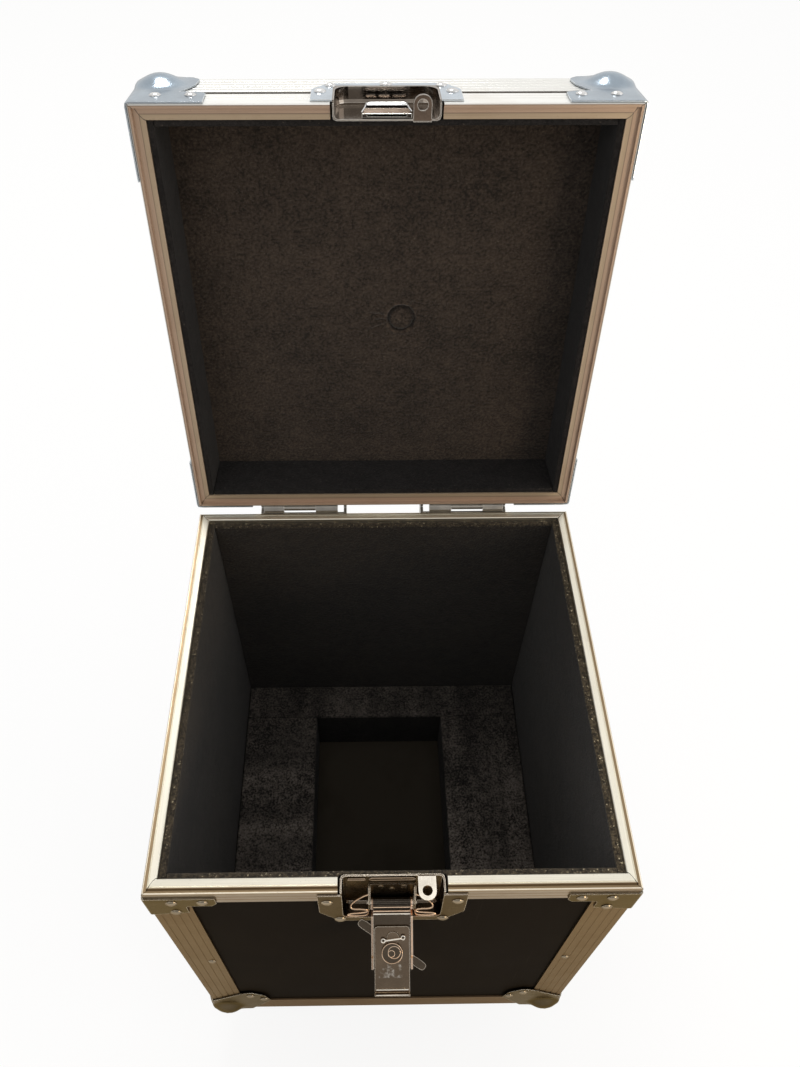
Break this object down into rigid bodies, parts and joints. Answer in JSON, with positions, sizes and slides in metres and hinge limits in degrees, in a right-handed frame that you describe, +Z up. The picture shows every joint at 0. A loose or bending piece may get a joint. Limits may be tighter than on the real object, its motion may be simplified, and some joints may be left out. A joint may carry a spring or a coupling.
{
  "type": "wheeled flight case",
  "caption": "Cube-shaped wheeled flight case with an open hinged lid, recessed butterfly latch, pressed steel corners, aluminium edging and dark foam inside.",
  "frame": {"origin": "centre of the bottom panel's underside", "axes": "+X to the right seen from the latch side, +Y towards the hinges, +Z up"},
  "size_m": [0.4012, 0.5601, 0.8615],
  "materials": {
    "black_laminate": "black laminate on plywood, satin",
    "aluminium": "extruded, satin, with fine long grooves",
    "zinc_steel": "pressed steel with bright zinc plating",
    "dark_foam": "matt, fine-celled foam",
    "grey_rubber": "matt wheel rubber"
  },
  "bodies": {
    "base": {"back_floor_pad": "dark_foam", "back_left_ball_corner": "zinc_steel", "back_left_castor_housing": "zinc_steel", "back_left_corner_edging": "aluminium", "back_left_rim_brace": "zinc_steel", "back_right_ball_corner": "zinc_steel", "back_right_castor_housing": "zinc_steel", "back_right_corner_edging": "aluminium", "back_right_rim_brace": "zinc_steel", "base_back_panel": "black_laminate", "base_bottom_edging": "aluminium", "base_bottom_panel": "black_laminate", "base_closing_profile": "aluminium", "base_foam_lining": "dark_foam", "base_front_panel": "black_laminate", "base_left_panel": "black_laminate", "base_right_panel": "black_laminate", "front_left_ball_corner": "zinc_steel", "front_left_castor_plate": "zinc_steel", "front_left_corner_edging": "aluminium", "front_left_rim_brace": "zinc_steel", "front_right_ball_corner": "zinc_steel", "front_right_castor_plate": "zinc_steel", "front_right_corner_edging": "aluminium", "front_right_rim_brace": "zinc_steel", "latch_dish": "zinc_steel", "latch_spring": "zinc_steel", "latch_yoke": "zinc_steel", "left_floor_pad": "dark_foam", "left_handle_plate": "zinc_steel", "left_hinge_base_leaf": "zinc_steel", "right_floor_pad": "dark_foam", "right_handle_plate": "zinc_steel", "right_hinge_base_leaf": "zinc_steel"},
    "lid": {"latch_keeper": "zinc_steel", "left_hinge_lid_leaf": "zinc_steel", "lid_back_left_corner": "zinc_steel", "lid_back_right_corner": "zinc_steel", "lid_closing_profile": "aluminium", "lid_edging": "aluminium", "lid_foam_ceiling": "dark_foam", "lid_foam_sides": "dark_foam", "lid_front_left_corner": "zinc_steel", "lid_front_right_corner": "zinc_steel", "lid_latch_dish": "zinc_steel", "lid_top_panel": "black_laminate", "lid_walls": "black_laminate", "right_hinge_lid_leaf": "zinc_steel"},
    "latch_arm": {"latch_arm": "zinc_steel"},
    "latch_hook": {"latch_hook_plate": "zinc_steel"},
    "latch_butterfly": {"latch_butterfly": "zinc_steel"},
    "left_bail": {"left_handle_bail": "zinc_steel"},
    "right_bail": {"right_handle_bail": "zinc_steel"},
    "front_left_fork": {"front_left_castor_fork": "zinc_steel"},
    "front_right_fork": {"front_right_castor_fork": "zinc_steel"},
    "front_left_wheel": {"front_left_castor_wheel": "grey_rubber"},
    "front_right_wheel": {"front_right_castor_wheel": "grey_rubber"},
    "back_left_wheel": {"back_left_castor_wheel": "grey_rubber"},
    "back_right_wheel": {"back_right_castor_wheel": "grey_rubber"}
  },
  "joints": [
    {"name": "lid_hinge", "type": "hinge", "parent": "base", "child": "lid", "pos_m": [0, 0.1927, 0.409], "axis": [1, 0, 0], "range_deg": [0, 98.7]},
    {"name": "latch_arm_hinge", "type": "hinge", "parent": "base", "child": "latch_arm", "pos_m": [0, -0.182, 0.3612], "axis": [1, 0, 0], "range_deg": [-129, 0]},
    {"name": "butterfly_turn", "type": "hinge", "parent": "latch_arm", "child": "latch_butterfly", "pos_m": [0, -0.21037, 0.33823], "axis": [0, 0.6293, -0.7771], "range_deg": [0, 145]},
    {"name": "hook_slide", "type": "slide", "parent": "latch_arm", "child": "latch_hook", "axis": [0, 0.7771, 0.6293], "range_m": [0, 0.0082]},
    {"name": "left_bail_hinge", "type": "hinge", "parent": "base", "child": "left_bail", "pos_m": [-0.1946, 0, 0.2552], "axis": [0, 1, 0], "range_deg": [0, 90]},
    {"name": "right_bail_hinge", "type": "hinge", "parent": "base", "child": "right_bail", "pos_m": [0.1946, 0, 0.2552], "axis": [0, -1, 0], "range_deg": [0, 90]},
    {"name": "front_left_swivel", "type": "hinge", "parent": "base", "child": "front_left_fork", "pos_m": [-0.12, -0.12, 0], "axis": [0, 0, 1], "continuous": true},
    {"name": "front_right_swivel", "type": "hinge", "parent": "base", "child": "front_right_fork", "pos_m": [0.12, -0.12, 0], "axis": [0, 0, 1], "continuous": true},
    {"name": "front_left_axle", "type": "hinge", "parent": "front_left_fork", "child": "front_left_wheel", "pos_m": [-0.12, -0.1, -0.045], "axis": [1, 0, 0], "continuous": true},
    {"name": "front_right_axle", "type": "hinge", "parent": "front_right_fork", "child": "front_right_wheel", "pos_m": [0.12, -0.1, -0.045], "axis": [1, 0, 0], "continuous": true},
    {"name": "back_left_axle", "type": "hinge", "parent": "base", "child": "back_left_wheel", "pos_m": [-0.12, 0.12, -0.045], "axis": [1, 0, 0], "continuous": true},
    {"name": "back_right_axle", "type": "hinge", "parent": "base", "child": "back_right_wheel", "pos_m": [0.12, 0.12, -0.045], "axis": [1, 0, 0], "continuous": true}
  ],
  "couplings": [
    {"joint": "hook_slide", "follows": "butterfly_turn", "m_per_rad": 0.00324}
  ]
}
